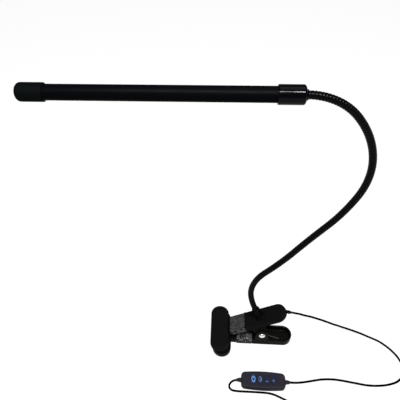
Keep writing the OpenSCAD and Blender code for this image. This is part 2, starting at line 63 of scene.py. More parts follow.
ARM_HALF = LEVER_R - WRAP_T - 0.0003
WRAP = (-0.038, -0.0139)
JAW_R = 0.0133
JAW_LEN = 0.072
JAW_T = 0.0078
JAW_SPLIT = 0.0118
PAD_T = 0.004
UPPER_JAW_X = -0.0613
LOWER_JAW_X = -0.0575
TRAY = (-0.0125, 0.0454)
TRAY_H = 0.012
LOWER_WRAP = (-0.036, -0.0126)
ARM_LIFT = 0.0009
NECK_STEP = 0.0536
NECK_TURN = (-22.7, -47.5, 8.5, -2.9, 14.9, 33.7, 29.1, 47.4)
NECK_FOOT = 0.0115
NECK_R = 0.004
HOSE_PITCH = 0.0031
BAR_LEN = 0.263
TUBE_R = 0.0075
SWITCH_AT = (0.0008, -0.071)
SWITCH_SIZE = (0.061, 0.020, 0.010)
SWITCH_R = 0.005
SWITCH_BULGE = 0.2
SWITCH_SPLIT = 0.0048
BUTTON_PITCH = 0.0092
BUTTON = (0.0066, 0.0124)
CORD_R = 0.0015
COIL_AT = (0.064, -0.124)
PLUG_AT = (0.101, -0.141)

# The cord's route from the clamp to the switch, from the switch to the coil, and to the plug
LEAD_ROUTE = (
    (37, 0, 69), (43, 0, 67.5), (50, 0.5, 65), (57, 1, 61.5), (64, 2, 58),
    (71, 3, 54), (78, 4, 49.5), (85, 5, 45), (92, 6, 40), (99, 7, 35),
    (106, 8, 30), (113, 9.5, 25), (120, 10.5, 20), (127, 11.5, 15.5), (134, 12, 11.5),
    (141, 12, 8), (148, 11.5, 5), (155, 10, 3), (162, 7.5, 1.8), (169, 4.5, 1.5),
    (176, 1, 1.5), (182, -3.5, 1.5), (188, -9, 1.5), (193, -15, 1.5), (197, -21, 1.5),
    (200, -28, 1.5), (201.5, -35.5, 1.5), (201, -43, 1.5), (198.5, -50, 1.5), (194, -56, 1.5),
    (188, -60.5, 1.5), (181, -63.5, 1.5), (172, -66, 1.5), (162, -67.5, 1.5), (152, -68, 1.5),
    (142, -67.5, 1.5), (132, -66, 1.5), (122, -64.5, 1.5), (112, -63, 1.5), (102, -62, 1.5),
    (92, -62, 1.5), (82, -63, 1.5), (72, -65, 1.5), (62, -67.3, 1.7), (52, -69.3, 2.4),
    (44, -70.5, 3.6), (37, -71, 4.8),
)
TAIL_ROUTE = (
    (-35, -71, 4.8), (-39.5, -71.5, 3.4), (-43.5, -73.5, 2), (-46, -76.8, 1.5), (-46, -80.6, 1.5),
    (-43, -84, 1.5), (-38, -85.2, 1.5), (-31, -85.5, 1.5), (-22, -85.5, 1.5), (-12, -85.5, 1.5),
    (-2, -85.6, 1.5), (7, -86, 1.5), (15, -87.6, 1.5), (22, -90.4, 1.5), (29, -93.6, 1.5),
    (36, -97, 1.5), (43, -99.8, 1.5), (50, -101.8, 1.5), (56, -103.4, 1.5),
)
PLUG_ROUTE = (
    (84, -130, 9.4), (85, -136, 7.6), (86.4, -142, 5.8), (88.4, -147.5, 4.6),
    (91.2, -152, 3.9), (95, -154.6, 3.7), (99, -153.6, 3.7), (101, -150.2, 3.7), (101, -147, 3.7),
)


# ---- Camera ----

def make_camera():
    data = bpy.data.cameras.new("camera")
    data.lens = 40.4
    data.sensor_width = 36
    data.clip_start, data.clip_end = 0.01, 20
    camera = bpy.data.objects.new("camera", data)
    camera.location = (-0.0719, -0.355, 0.6167)
    camera.rotation_euler = (math.radians(46.54), 0, math.radians(3.05))
    bpy.context.collection.objects.link(camera)
    bpy.context.scene.camera = camera


# ---- Meshes ----

def mesh_object(name, verts, faces, matrix=None, sharp=35):
    """A mesh that is smooth over edges up to the angle sharp, its normals weighted to its larger faces."""
    mesh = bpy.data.meshes.new(name)
    mesh.from_pydata([tuple(v) for v in verts], [], faces)
    bm = bmesh.new()
    bm.from_mesh(mesh)
    bmesh.ops.remove_doubles(bm, verts=bm.verts, dist=1e-7)
    bmesh.ops.recalc_face_normals(bm, faces=bm.faces)
    for f in bm.faces:
        f.smooth = True
    for e in bm.edges:
        e.smooth = len(e.link_faces) == 2 and e.calc_face_angle(0) < math.radians(sharp)
    bm.to_mesh(mesh)
    bm.free()
    obj = bpy.data.objects.new(name, mesh)
    bpy.context.collection.objects.link(obj)
    if matrix is not None:
        obj.matrix_world = matrix
    weighted = obj.modifiers.new("weighted", "WEIGHTED_NORMAL")
    weighted.keep_sharp = True
    return obj


def ring_faces(rings, n, closed=False):
    """Faces between rings of n points each, and over both ends if closed."""
    faces = [(k * n + i, k * n + (i + 1) % n, (k + 1) * n + (i + 1) % n, (k + 1) * n + i)
             for k in range(rings - 1) for i in range(n)]
    if closed:
        faces += [tuple(range(n - 1, -1, -1)), tuple((rings - 1) * n + i for i in range(n))]
    return faces


def quarter(n):
    """The angles that part a quarter turn into n."""
    return [math.pi / 2 * i / n for i in range(n + 1)]


def offset(outline, inset):
    """A closed outline moved inwards, with its corners kept."""
    n = len(outline)
    out = []
    for i in range(n):
        a, b, c = (Vector(outline[(i + k) % n]) for k in (-1, 0, 1))
        n1 = Vector((-(b - a).y, (b - a).x)).normalized()
        n2 = Vector((-(c - b).y, (c - b).x)).normalized()
        out.append(b + (n1 + n2) * inset / (1 + n1.dot(n2)))
    return out


def arc(x, y, r, a0, a1, n):
    angles = [a0 + (a1 - a0) * i / n for i in range(n + 1)]
    return [(x + r * math.cos(a), y + r * math.sin(a)) for a in angles]


def tongue(x0, x1, r, corner=0.0008):
    """A plate's outline with one round end, anticlockwise."""
    q = math.pi / 2
    return (arc(x0 + corner, -r + corner, corner, 2 * q, 3 * q, 4) + arc(x1 - r, 0, r, -q, q, 40)
            + arc(x0 + corner, r - corner, corner, q, 2 * q, 4))


def stadium(length, r, n=32):
    """A bar's outline along y with two round ends, anticlockwise."""
    h = length / 2 - r
    return arc(0, h, r, 0, math.pi, n) + arc(0, -h, r, math.pi, 2 * math.pi, n)


def round_rect(length, width, r, n=8):
    q = math.pi / 2
    x, y = length / 2 - r, width / 2 - r
    return (arc(x, y, r, 0, q, n) + arc(-x, y, r, q, 2 * q, n)
            + arc(-x, -y, r, 2 * q, 3 * q, n) + arc(x, -y, r, 3 * q, 4 * q, n))


def hull(points):
    """The convex outline round some points, anticlockwise."""
    points = sorted(set((round(x, 7), round(y, 7)) for x, y in points))

    def half(seq):
        out = []
        for p in seq:
            while len(out) > 1 and ((out[-1][0] - out[-2][0]) * (p[1] - out[-2][1])
                                    - (out[-1][1] - out[-2][1]) * (p[0] - out[-2][0])) <= 1e-12:
                out.pop()
            out.append(p)
        return out[:-1]

    return half(points) + half(points[::-1])


def rim(z, r, up, n=5):
    """Pairs of inset and height that round an edge off: outwards and up to z, or from z outwards and up."""
    s = 1 if up else -1
    pairs = [(r - r * math.cos(t), z - s * (r - r * math.sin(t))) for t in quarter(n)]
    return pairs if up else pairs[::-1]


def inner_rim(z, wall, r, up, n=5):
    """The inner half of a wall's rounded edge, from the edge to the inside."""
    s = 1 if up else -1
    return [(wall - r + r * math.sin(t), z - s * (r - r * math.cos(t))) for t in quarter(n)]


def solid(name, outline, profile, matrix=None):
    """An outline drawn at each inset and height of the profile, joined up and closed at both ends."""
    verts = []
    for inset, z in profile:
        verts += [(p[0], p[1], z) for p in offset(outline, inset)]
    return mesh_object(name, verts, ring_faces(len(profile), len(outline), True), matrix)


def block(name, outline, z0, z1, r, matrix=None):
    """A plate of any outline with all its edges rounded."""
    return solid(name, outline, rim(z0, r, False) + rim(z1, r, True), matrix)


def turned(name, profile, matrix=None, n=72):
    """A solid of revolution about z, from pairs of radius and height."""
    turn = [2 * math.pi * i / n for i in range(n)]
    verts = []
    for r, z in profile:
        r = max(r, 1e-6)
        verts += [(r * math.cos(a), r * math.sin(a), z) for a in turn]
    return mesh_object(name, verts, ring_faces(len(profile), n, True), matrix, sharp=30)


def smooth_route(points, step=0.002):
    """A smooth line through points given in millimetres."""
    p = [Vector(q) / 1000 for q in points]
    p = [2 * p[0] - p[1]] + p + [2 * p[-1] - p[-2]]
    line = []
    for i in range(1, len(p) - 2):
        n = max(1, round((p[i + 1] - p[i]).length / step))
        for j in range(n):
            t = j / n
            line.append(0.5 * (2 * p[i] + (p[i + 1] - p[i - 1]) * t
                               + (2 * p[i - 1] - 5 * p[i] + 4 * p[i + 1] - p[i + 2]) * t ** 2
                               + (3 * p[i] - p[i - 1] - 3 * p[i + 1] + p[i + 2]) * t ** 3))
    return line + [p[-2]]


def tube(name, line, radius, sides):
    """A tube along a line, closed at both ends."""
    verts = []
    side = None
    for i, p in enumerate(line):
        d = (line[min(i + 1, len(line) - 1)] - line[max(i - 1, 0)]).normalized()
        side = d.orthogonal() if side is None else side - d * side.dot(d)
        side.normalize()
        up = d.cross(side)
        for k in range(sides):
            a = 2 * math.pi * k / sides
            verts.append(p + radius * (math.cos(a) * side + math.sin(a) * up))
    return mesh_object(name, verts, ring_faces(len(line), sides, True), sharp=60)


# ---- Frames ----

def lever_frame():
    return Matrix.Translation((0, 0, PIN_Z)) @ Matrix.Rotation(-LEVER_RISE, 4, "Y")


def neck_at(s):
    """Point and heading of the neck's line at s from its foot, the heading in degrees in the XZ plane."""
    rise = math.degrees(LEVER_RISE)
    p = lever_frame() @ Vector((NECK_FOOT, 0, PLATE_Z))
    h = 90 + rise
    for turn in NECK_TURN:
        d = min(s, NECK_STEP)
        a = turn * d / NECK_STEP
        chord = 2 * NECK_STEP / math.radians(turn) * math.sin(math.radians(a / 2))
        m = math.radians(h + a / 2)
        p = p + chord * Vector((math.cos(m), 0, math.sin(m)))
        h += a
        s -= d
        if s <= 0:
            return p, h
    m = math.radians(h)
    return p + s * Vector((math.cos(m), 0, math.sin(m))), h


def neck_frame(s):
    p, h = neck_at(s)
    return Matrix.Translation(p) @ Matrix.Rotation(math.radians(90 - h), 4, "Y")


def bar_frame():
    return neck_frame(len(NECK_TURN) * NECK_STEP)


def switch_frame():
    return Matrix.Translation((*SWITCH_AT, 0))


def plug_frame():
    return Matrix.Translation((*PLUG_AT, 0.0037)) @ Matrix.Rotation(-math.pi / 2, 4, "Z")


def gland_frame():
    lean = Matrix.Rotation(math.pi / 2 + LEVER_RISE + math.radians(14), 4, "Y")
    return lever_frame() @ Matrix.Translation((HANDLE[1], 0, PLATE_Z - 0.0056)) @ lean


# Turns a plate's outline in x and y into one in x and z; its heights run towards -y
UPRIGHT = Matrix.Rotation(math.pi / 2, 4, "X")


# ---- Materials ----

def new_material(name):
    m = bpy.data.materials.new(name)
    m.use_nodes = True
    return m, m.node_tree.nodes, m.node_tree.links, m.node_tree.nodes["Principled BSDF"]


def noise_node(nodes, links, scale, detail=3.0, rough=0.55, stretch=None):
    """Noise over the object's own coordinates."""
    at = nodes.new("ShaderNodeTexCoord")
    spread = nodes.new("ShaderNodeMapping")
    spread.inputs["Scale"].default_value = stretch or (1, 1, 1)
    tex = nodes.new("ShaderNodeTexNoise")
    tex.inputs["Scale"].default_value = scale
    tex.inputs["Detail"].default_value = detail
    tex.inputs["Roughness"].default_value = rough
    links.new(at.outputs["Object"], spread.inputs["Vector"])
    links.new(spread.outputs["Vector"], tex.inputs["Vector"])
    return tex.outputs["Fac"]


def ranged(nodes, links, value, lo, hi, from_lo=0.3, from_hi=0.7):
    r = nodes.new("ShaderNodeMapRange")
    r.inputs["From Min"].default_value = from_lo
    r.inputs["From Max"].default_value = from_hi
    r.inputs["To Min"].default_value = lo
    r.inputs["To Max"].default_value = hi
    links.new(value, r.inputs["Value"])
    return r.outputs["Result"]


def mixed(nodes, links, factor, a, b):
    m = nodes.new("ShaderNodeMix")
    m.data_type = "RGBA"
    links.new(factor, m.inputs["Factor"])
    for socket, value in ((m.inputs["A"], a), (m.inputs["B"], b)):
        if isinstance(value, bpy.types.NodeSocket):
            links.new(value, socket)
        else:
            socket.default_value = (*value, 1)
    return m.outputs["Result"]


def bumped(nodes, links, bsdf, height, distance, strength=1.0):
    b = nodes.new("ShaderNodeBump")
    b.inputs["Distance"].default_value = distance
    b.inputs["Strength"].default_value = strength
    links.new(height, b.inputs["Height"])
    links.new(b.outputs["Normal"], bsdf.inputs["Normal"])


def finish(name, color, rough, metal=0.0, spec=0.5, coat=0.0, cloud=0.15, cloud_scale=70, spread=0.06,
           grain=0.0, grain_scale=1500, stretch=None):
    """A finish with slow changes of colour and gloss, and a fine grain."""
    m, nodes, links, bsdf = new_material(name)
    bsdf.inputs["Base Color"].default_value = (*color, 1)
    bsdf.inputs["Roughness"].default_value = rough
    bsdf.inputs["Metallic"].default_value = metal
    bsdf.inputs["Specular IOR Level"].default_value = spec
    bsdf.inputs["Coat Weight"].default_value = coat
    bsdf.inputs["Coat Roughness"].default_value = 0.06
    slow = noise_node(nodes, links, cloud_scale, stretch=stretch)
    fine = noise_node(nodes, links, cloud_scale * 9, detail=5, stretch=stretch)
    dark = tuple(c * (1 - cloud) for c in color)
    light = tuple(min(1, c * (1 + cloud)) for c in color)
    links.new(mixed(nodes, links, slow, dark, light), bsdf.inputs["Base Color"])
    gloss = ranged(nodes, links, fine, max(0.02, rough - spread), rough + spread)
    links.new(gloss, bsdf.inputs["Roughness"])
    if grain:
        bumped(nodes, links, bsdf, noise_node(nodes, links, grain_scale, detail=2), grain)
    return m


def grip_tape(flecked_and_shade_lifted=False):
    """Grey tape: streaky and faintly banded on its flat faces, flecked on its sides. The lower wrap's copy
    is flecked all over, and its brighter flecks are painted light that lifts it out of the shade it lies
    in.
    """
    m, nodes, links, bsdf = new_material("grip_flecked_shade_lifted" if flecked_and_shade_lifted else "grip_tape")
    bsdf.inputs["Base Color"].default_value = (0.06, 0.06, 0.058, 1)
    bsdf.inputs["Roughness"].default_value = 0.9
    bsdf.inputs["Specular IOR Level"].default_value = 0.08
    at = nodes.new("ShaderNodeTexCoord")
    fleck = noise_node(nodes, links, 820, detail=3, rough=0.7)
    # The lower wrap's copy gets brighter flecks: painted light against the shade on its top face.
    flecked = mixed(nodes, links, ranged(nodes, links, fleck, 0, 1, 0.53, 0.62), (0.003, 0.003, 0.004),
                    (0.15, 0.15, 0.15) if flecked_and_shade_lifted else (0.12, 0.12, 0.12))
    color = flecked
    if not flecked_and_shade_lifted:
        parts = nodes.new("ShaderNodeSeparateXYZ")
        links.new(at.outputs["Normal"], parts.inputs["Vector"])
        top = ranged(nodes, links, parts.outputs["Z"], 0, 1, 0.6, 0.85)
        bands = nodes.new("ShaderNodeTexWave")
        bands.bands_direction = "X"
        bands.inputs["Scale"].default_value = 24
        bands.inputs["Distortion"].default_value = 1.2
        bands.inputs["Detail"].default_value = 2
        links.new(at.outputs["Object"], bands.inputs["Vector"])
        banded = mixed(nodes, links, bands.outputs["Fac"], (0.004, 0.004, 0.0038), (0.007, 0.007, 0.0067))
        streaks = noise_node(nodes, links, 1100, detail=4, rough=0.7, stretch=(1, 0.3, 1))
        streaked = ranged(nodes, links, streaks, 0, 1, 0.45, 0.68)
        flat = mixed(nodes, links, streaked, banded, (0.05, 0.05, 0.048))
        color = mixed(nodes, links, top, flecked, flat)
    links.new(color, bsdf.inputs["Base Color"])
    bumped(nodes, links, bsdf, fleck, 0.00025)
    return m


def milky():
    """The diffuser's opal plastic."""
    m = finish("milky", (0.62, 0.6, 0.52), 0.35, cloud=0.04, cloud_scale=40, grain=0.00001)
    bsdf = m.node_tree.nodes["Principled BSDF"]
    bsdf.inputs["Subsurface Weight"].default_value = 0.25
    bsdf.inputs["Subsurface Radius"].default_value = (0.002, 0.002, 0.0015)
    return m


def lit(name, color, strength):
    """A mark that glows a little."""
    m = finish(name, color, 0.4, cloud=0.08, cloud_scale=300)
    bsdf = m.node_tree.nodes["Principled BSDF"]
    bsdf.inputs["Emission Color"].default_value = (*color, 1)
    bsdf.inputs["Emission Strength"].default_value = strength
    return m


def make_materials():
    return {
        "shell_black": finish("shell_black", (0.0007, 0.0008, 0.0011), 0.42, spec=0.009, cloud_scale=30,
                              grain=0.000012, grain_scale=2600, stretch=(0.3, 1, 1)),
        "diffuser": milky(),
        "board_white": finish("board_white", (0.8, 0.81, 0.78), 0.5, cloud=0.05),
        "emitter": finish("emitter", (0.85, 0.68, 0.18), 0.3, coat=0.3, cloud_scale=900),
        "cap_matt": finish("cap_matt", (0.0009, 0.0012, 0.0014), 0.62,
                           spec=0.012, grain=0.00004, grain_scale=2200),
        "cap_gloss": finish("cap_gloss", (0.0006, 0.0006, 0.0010), 0.11,
                            spec=0.07, cloud_scale=40, spread=0.01),
        "steel": finish("steel", (0.52, 0.52, 0.53), 0.3, metal=1, cloud_scale=200, grain=0.00002),
        "pin_steel": finish("pin_steel", (0.86, 0.86, 0.84), 0.24, metal=1, cloud_scale=260, grain=0.00001),
        "neck_black": finish("neck_black", (0.0008, 0.0008, 0.0008), 0.2,
                             spec=0.035, cloud_scale=180, spread=0.05),
        "sleeve_black": finish("sleeve_black", (0.0012, 0.0012, 0.0015), 0.45, spec=0.02, grain=0.00003),
        "lever_black": finish("lever_black", (0.0022, 0.0022, 0.0024), 0.5,
                              spec=0.012, grain=0.00005, grain_scale=1300),
        "tray_black": finish("tray_black", (0.0018, 0.0019, 0.0014), 0.22,
                             spec=0.02, grain=0.00003, grain_scale=1300),
        "pad_rubber": finish("pad_rubber", (0.0014, 0.0014, 0.0014), 0.75, spec=0.01, grain=0.00006),
        "grip_grey": grip_tape(),
        "grip_flecked_shade_lifted": grip_tape(flecked_and_shade_lifted=True),
        "spring_steel": finish("spring_steel", (0.34, 0.34, 0.35), 0.32, metal=1, cloud_scale=300),
        "cord_black": finish("cord_black", (0.0006, 0.0006, 0.0006), 0.45,
                             spec=0.004, cloud_scale=120, grain=0.00003),
        "switch_dark": finish("switch_dark", (0.009, 0.0085, 0.0125), 0.42, spec=0.03, grain=0.00004),
        "circuit_green": finish("circuit_green", (0.02, 0.13, 0.05), 0.4, cloud=0.3, cloud_scale=400),
        "key_dark": finish("key_dark", (0.02, 0.02, 0.02), 0.5),
        "button_lit": finish("button_lit", (0.008, 0.016, 0.045), 0.3, spec=0.04, cloud_scale=300),
        "button_blue": finish("button_blue", (0.007, 0.009, 0.019), 0.32, spec=0.04, cloud_scale=300),
        "tie_black": finish("tie_black", (0.008, 0.008, 0.008), 0.7,
                            spec=0.2, grain=0.00008, grain_scale=2500),
        "plug_black": finish("plug_black", (0.006, 0.006, 0.006), 0.55, spec=0.2, grain=0.00005),
        "plug_metal": finish("plug_metal", (0.66, 0.66, 0.67), 0.22, metal=1, cloud_scale=250),
        "plug_tongue": finish("plug_tongue", (0.75, 0.75, 0.75), 0.45, cloud=0.05),
        "mark_bright": lit("mark_bright", (0.06, 0.13, 0.3), 0.25),
        "mark_blue": lit("mark_blue", (0.025, 0.05, 0.1), 0.1),
    }


def paint(obj, slot, material=None):
    obj.data.materials.clear()
    obj.data.materials.append(MATERIALS[material or slot])
    return obj


def paint_cad():
    """Puts each CAD node's finish on it."""
    for part in frame["record"]["subparts"]:
        node = frame["nodes"][part["node"]]
        node.data.materials.clear()
        node.data.materials.append(MATERIALS[part["material_slot"]])


def place(obj, body, slot, *nodes, material=None):
    """Finishes a piece, sets it on its body and lets it stand for CAD nodes."""
    paint(obj, slot, material)
    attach(obj, body)
    if nodes:
        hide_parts(*nodes)
    return obj


# ---- Cords ----

def coil_line():
    """Eleven and a quarter turns, three to a layer, wound clockwise from the tail's end."""
    layer = (0.0195, 0.0165, 0.0135)
    slots = [(r, CORD_R * (2 * k + 1)) for k in range(4) for r in (layer if k % 2 == 0 else layer[::-1])]
    start, total, jog = 103, 4063, 50
    line = []
    for i in range(total // 8 + 1):
        a = min(i * 8, total)
        n, f = divmod(a, 360)
        t = 1 if n == 0 else min(1, f / jog)
        t = t * t * (3 - 2 * t)
        (r0, z0), (r1, z1) = slots[max(n - 1, 0)], slots[n]
        r, z = r0 + (r1 - r0) * t, z0 + (z1 - z0) * t
        at = math.radians(start - a)
        line.append(Vector((COIL_AT[0] + r * math.cos(at), COIL_AT[1] + r * math.sin(at), z)))
    return line


def make_lead():
    line = smooth_route(LEAD_ROUTE, 0.003)
    lead = tube("flex_lead", line, CORD_R, 14)
    paint(lead, "cord_black")
    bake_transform(lead)
    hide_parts("cord_lead")


def make_tail():
    """The cord from the switch through its coil to the plug, as one curve."""
    line = smooth_route(TAIL_ROUTE, 0.003)[:-1] + coil_line()[1:] + smooth_route(PLUG_ROUTE, 0.003)
    data = bpy.data.curves.new("flex_tail", "CURVE")
    data.dimensions = "3D"
    data.bevel_depth = CORD_R * 0.97
    data.bevel_resolution = 3
    data.use_fill_caps = True
    spline = data.splines.new("POLY")
    spline.points.add(len(line) - 1)
    for point, p in zip(spline.points, line):
        point.co = (*p, 1)
    tail = bpy.data.objects.new("flex_tail", data)
    bpy.context.collection.objects.link(tail)
    place(tail, "base", "cord_black", "cord_tail", "cord_coil", "cord_end")
    length = sum((b - a).length for a, b in zip(line, line[1:]))
    return tail, line, length


# ---- Neck ----

def neck_ring(s, radius_of, sides):
    """A ring round the neck's line at s. radius_of gives its radius at each of its points."""
    p, h = neck_at(s)
    h = math.radians(h)
    side, up = Vector((-math.sin(h), 0, math.cos(h))), Vector((0, 1, 0))
    turn = [2 * math.pi * j / sides for j in range(sides)]
    return [p + radius_of(j) * (math.cos(a) * side + math.sin(a) * up) for j, a in enumerate(turn)]


def hose_piece(k, s0, s1):
    """The hose from s0 to s1 along the neck: a close spiral of round wire."""
    rings_per_turn, sides, groove = 10, 30, 0.00055
    n = round((s1 - s0) / HOSE_PITCH * rings_per_turn)
    verts = []
    for i in range(n + 1):
        s = s0 + (s1 - s0) * i / n

        def wire(j):
            f = (s / HOSE_PITCH + j / sides) % 1
            return NECK_R - groove * (1 - math.sqrt(max(0, 1 - (2 * f - 1) ** 2)))

        verts += neck_ring(s, wire, sides)
    return mesh_object(f"hose_{k}", verts, ring_faces(n + 1, sides), sharp=80)


def make_neck():
    """The hose in seven pieces, from mid-stretch to mid-stretch."""
    for k in range(1, 8):
        s0 = 0 if k == 1 else (k - 0.5) * NECK_STEP
        s1 = 8 * NECK_STEP + 0.001 if k == 7 else (k + 0.5) * NECK_STEP
        piece = paint(hose_piece(k, s0, s1), "neck_black")
        start, end = neck_at((k - 0.4) * NECK_STEP)[0], neck_at((k + 0.4) * NECK_STEP)[0]
        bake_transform(piece)
        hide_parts(*([f"neck_{k}", "neck_8"] if k == 7 else [f"neck_{k}"]))


def make_sleeve():
    """Rubber sleeve on the neck's foot: a collar, then a slim tapered tube with a rounded mouth."""
    profile = [(0.0001, 0.0042), (0.0001, 0.0066), (0.0004, 0.0071), (0.001, 0.0073), (0.002, 0.0073),
               (0.0026, 0.0070), (0.003, 0.0064), (0.0036, 0.0060), (0.006, 0.00585), (0.010, 0.00575),
               (0.014, 0.00565), (0.018, 0.00555), (0.0193, 0.0054), (0.0198, 0.0050), (0.020, 0.0045),
               (0.020, 0.0041)]
    sides, groove, every = 48, 0.00018, 6
    verts = []
    for s, r in profile:
        depth = groove if 0.004 < s < 0.019 else 0
        verts += neck_ring(s, lambda j: r - (depth if j % every == 0 else 0), sides)
    sleeve = mesh_object("sleeve", verts, ring_faces(len(profile), sides), sharp=50)
    place(sleeve, "upper", "sleeve_black", "neck_sleeve")


# ---- Light bar ----

def make_caps():
    r, edge, soft, nose = 0.0091, 0.0005, 0.0024, 0.0014
    mouth = [(0.0042, -0.0006), (0.0046, -0.0006), (0.0049, -0.0003), (0.0053, 0.0008), (0.0055, nose)]
    shoulder = [(r - soft + soft * math.sin(t), nose + soft - soft * math.cos(t)) for t in quarter(10)]
    rear = [(r, 0.0252), (r - 0.00015, 0.0258), (r - edge, 0.0262),
            (TUBE_R + 0.0002, 0.0262), (TUBE_R, 0.0259)]
    gloss = mouth + shoulder + rear
    place(turned("gloss_cap", gloss, bar_frame()), "head", "cap_gloss", "neck_cap")
    r, end, soft = 0.0088, BAR_LEN, 0.005
    dome = [(r - soft + soft * math.cos(t), end - soft + soft * math.sin(t)) for t in quarter(12)]
    matt = ([(TUBE_R, end - 0.0260), (TUBE_R + 0.0002, end - 0.0263), (r - edge, end - 0.0263),
             (r - 0.00015, end - 0.0261), (r, end - 0.0256)] + dome)
    place(turned("matt_cap", matt, bar_frame()), "head", "cap_matt", "end_cap")


# ---- Clamp ----

def jaw_profile(soft, on_top):
    """Insets and heights of a jaw bar between 0 and its thickness, with one rim much softer."""
    if on_top:
        return rim(0, 0.0005, False, 3) + rim(JAW_T, soft, True, 10)
    return rim(0, soft, False, 10) + rim(JAW_T, 0.0005, True, 3)


def rubber_pad(name, z0, z1, matrix, cut=None):
    """A jaw pad with slanting ribs round its rim."""
    outline = stadium(JAW_LEN - 0.0016, JAW_R - 0.0008, 90)
    if cut:
        outline = [p for p in outline if not (p[0] > 0.001 and abs(p[1]) < cut)]
    levels, verts = 8, []
    n = len(outline)
    inner = offset(outline, 0.0008)
    outline = [Vector(p) for p in outline]
    for k in range(levels + 1):
        z = z0 + (z1 - z0) * k / levels
        for i in range(n):
            wave = 0.5 + 0.5 * math.sin(2 * math.pi * (i / 4.5 + k / levels))
            body = 1 if 0 < k < levels else 0.55
            p = inner[i] + (outline[i] - inner[i]) * (0.35 + 0.65 * wave) * body
            verts.append((p.x, p.y, z))
    return mesh_object(name, verts, ring_faces(levels + 1, n, True), matrix, sharp=60)


def wrap(name, x0, x1, z0, z1, matrix):
    """A band of tape round an arm, a little uneven, with rounded edges."""
    section = round_rect(2 * LEVER_R - 0.0006, z1 - z0, 0.0011, 4)
    fine = []
    for i, p in enumerate(section):
        q = Vector(section[(i + 1) % len(section)])
        n = max(1, round((q - Vector(p)).length / 0.0009))
        fine += [Vector(p).lerp(q, j / n) for j in range(n)]
    steps = round((x1 - x0) / 0.0006)
    unevenness, grain = 0.010, 900
    verts = []
    for i in range(steps + 1):
        x = x0 + (x1 - x0) * i / steps
        for p in fine:
            wide = high = 1 + unevenness * noise.noise(Vector((x, p.x, p.y)) * grain)
            if i in (0, steps):
                wide, high = 0.93, 0.9
            verts.append((x, min(max(p.x * wide, -LEVER_R), LEVER_R), (z0 + z1) / 2 + p.y * high))
    return mesh_object(name, verts, ring_faces(steps + 1, len(fine), True), matrix, sharp=50)


def arm(name, x0, x1, z0, z1, matrix):
    outline = [(x0, -ARM_HALF), (x1, -ARM_HALF), (x1, ARM_HALF), (x0, ARM_HALF)]
    return block(name, outline, z0, z1, 0.0009, matrix)


def make_upper_lever():
    m = lever_frame()
    top, low = PLATE_Z, PLATE_Z - SKIRT_H
    profile = ([(WALL, top - WALL)] + inner_rim(low, WALL, 0.0007, False)[::-1]
               + rim(low, 0.0012, False)[1:] + rim(top, 0.0014, True, 7))
    handle = solid("upper_handle", tongue(*HANDLE, LEVER_R), profile, m)
    place(handle, "upper", "lever_black", "upper_lever")
    left, right = HANDLE[0], HANDLE[0] + 0.0012
    lip = [(left, -LEVER_R), (right, -LEVER_R), (right, LEVER_R), (left, LEVER_R)]
    place(block("upper_lip", lip, top - 0.001, top + 0.0007, 0.0004, m), "upper", "lever_black")
    body = arm("upper_arm", *ARM, top - ARM_H + WRAP_T, top - WRAP_T, m)
    place(body, "upper", "lever_black")
    foot, crest = JAW_SPLIT + PAD_T + 0.0005, JAW_SPLIT + PAD_T + JAW_T - 0.001
    left, right = UPPER_JAW_X + 0.005, UPPER_JAW_X + JAW_R
    near, far, high = ARM[0] + 0.0015, ARM[0], top - WRAP_T - 0.0001
    end = [m @ Vector(q) for q in ((near, 0, top - ARM_H + WRAP_T), (near, 0, high), (far, 0, high))]
    shoulder = ([(left, foot), (right - 0.0015, foot)] + [(q.x, q.z) for q in end]
                + [(right - 0.0022, crest), (left, crest)])
    half = ARM_HALF - 0.0004
    place(block("upper_shoulder", shoulder, -half, half, 0.0004, UPRIGHT), "upper", "lever_black")
    tab = hull([(-0.010, 0.026), (0.016, 0.026), (0.016, 0.025)] + arc(0, 0, 0.008, 0, 2 * math.pi, 48))
    tab_y, half = 0.00995, 0.00095
    for name, y in (("upper_tab_near", tab_y), ("upper_tab_far", -tab_y)):
        place(block(name, tab, y - half, y + half, 0.0004, m @ UPRIGHT), "upper", "lever_black")
    bar = solid("upper_jaw_bar", stadium(JAW_LEN, JAW_R), jaw_profile(0.002, True),
                Matrix.Translation((UPPER_JAW_X, 0, JAW_SPLIT + PAD_T)))
    place(bar, "upper", "lever_black")
    place(rubber_pad("upper_pad", 0.00015, PAD_T, Matrix.Translation((UPPER_JAW_X, 0, JAW_SPLIT))),
          "upper", "pad_rubber", "upper_jaw_pad")
    place(wrap("upper_wrap", *WRAP, top - ARM_H, top, m), "upper", "grip_grey", "upper_grip_wrap")


